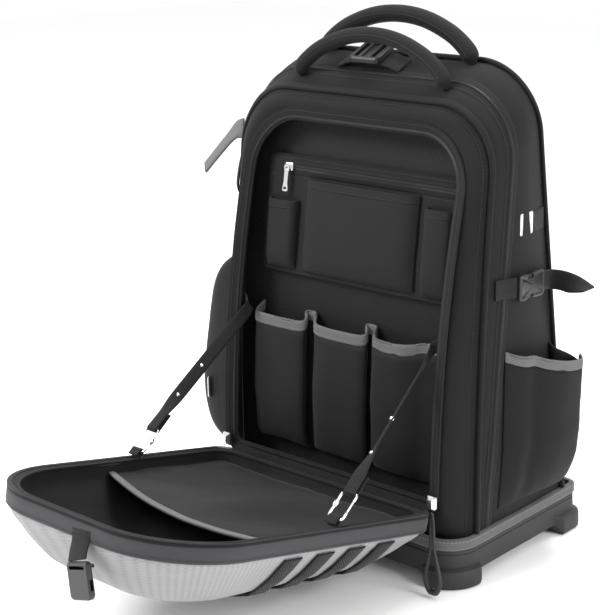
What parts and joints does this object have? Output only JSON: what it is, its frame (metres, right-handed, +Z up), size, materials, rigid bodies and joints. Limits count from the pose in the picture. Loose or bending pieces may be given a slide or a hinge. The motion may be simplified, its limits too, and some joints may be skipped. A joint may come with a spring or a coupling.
{
  "type": "tool backpack",
  "caption": "Tool backpack standing open, its stiff front lid hanging forward on two tethers, with tool pockets, an organiser board and a moulded rubber base.",
  "frame": {"origin": "middle of the whole part's underside, on the floor between the feet of the base and the lid's overhang", "axes": "+X to the right as seen from the open front, +Y towards the wearer's back, +Z up"},
  "size_m": [0.493, 0.6112, 0.5821],
  "materials": {
    "shell_fabric": "fine twill, light grey, over a stiff moulded shell",
    "body_fabric": "heavy black woven polyester, matte",
    "lining_fabric": "plain black woven lining, matte",
    "binding_fabric": "grey grosgrain binding",
    "webbing": "black woven webbing",
    "zip_tape": "black zip tape with coil teeth",
    "piping": "black piping cord",
    "boot_rubber": "moulded black rubber, fine grain",
    "soft_rubber": "soft black rubber",
    "black_plastic": "black injection-moulded acetal",
    "plated_metal": "nickel-plated zinc, satin bright"
  },
  "bodies": {
    "pack": {"lid_shell": "shell_fabric", "front_border": "body_fabric", "front_gusset": "body_fabric", "rear_gusset": "body_fabric", "back_panel": "body_fabric", "handle_front": "body_fabric", "handle_rear": "body_fabric", "side_pocket": "body_fabric", "side_pouch": "body_fabric", "shoulder_strap_R": "body_fabric", "shoulder_strap_L": "body_fabric", "inner_panel": "lining_fabric", "organiser_board": "lining_fabric", "flat_pocket": "lining_fabric", "narrow_pocket": "lining_fabric", "pen_pocket": "lining_fabric", "tool_pockets": "lining_fabric", "lid_lining": "lining_fabric", "lid_pocket": "lining_fabric", "lid_hinge": "lining_fabric", "base_trim": "binding_fabric", "tool_pocket_binding": "binding_fabric", "lid_pocket_binding": "binding_fabric", "side_pocket_binding": "binding_fabric", "side_tab": "binding_fabric", "tether_R": "webbing", "tether_L": "webbing", "lid_loop_R": "webbing", "lid_loop_L": "webbing", "lash_row_1": "webbing", "lash_row_2": "webbing", "lash_row_3": "webbing", "lash_row_4": "webbing", "lid_strap": "webbing", "top_strap": "webbing", "side_strap": "webbing", "side_strap_end": "webbing", "clip_tab": "webbing", "front_rim": "zip_tape", "main_zip": "zip_tape", "inner_zip": "zip_tape", "lid_rim": "zip_tape", "piping_front": "piping", "piping_rear": "piping", "base_boot": "boot_rubber", "front_pull_R": "soft_rubber", "side_pull": "soft_rubber", "top_buckle": "black_plastic", "lid_buckle": "black_plastic", "side_buckle": "black_plastic", "snap_hook_R": "plated_metal", "snap_hook_L": "plated_metal", "front_slider_R": "plated_metal", "front_slider_L": "plated_metal", "inner_slider": "plated_metal", "pouch_slider": "plated_metal", "clip_plate": "plated_metal"},
    "inner_tab": {"inner_tab": "plated_metal"},
    "hook_gate_R": {"hook_gate_R": "plated_metal"},
    "hook_gate_L": {"hook_gate_L": "plated_metal"}
  },
  "joints": [
    {"name": "inner_tab_hinge", "type": "hinge", "parent": "pack", "child": "inner_tab", "pos_m": [-0.0822, 0.1207, 0.4083], "axis": [1, 0, 0], "range_deg": [-150, 0]},
    {"name": "hook_gate_R_hinge", "type": "hinge", "parent": "pack", "child": "hook_gate_R", "pos_m": [0.1666, -0.0698, 0.1306], "axis": [0, -0.6102, 0.7923], "range_deg": [0, 24], "stiffness_Nm_per_rad": 0.01},
    {"name": "hook_gate_L_hinge", "type": "hinge", "parent": "pack", "child": "hook_gate_L", "pos_m": [-0.129, -0.0698, 0.1306], "axis": [0, 0.6102, -0.7923], "range_deg": [0, 24], "stiffness_Nm_per_rad": 0.01}
  ]
}
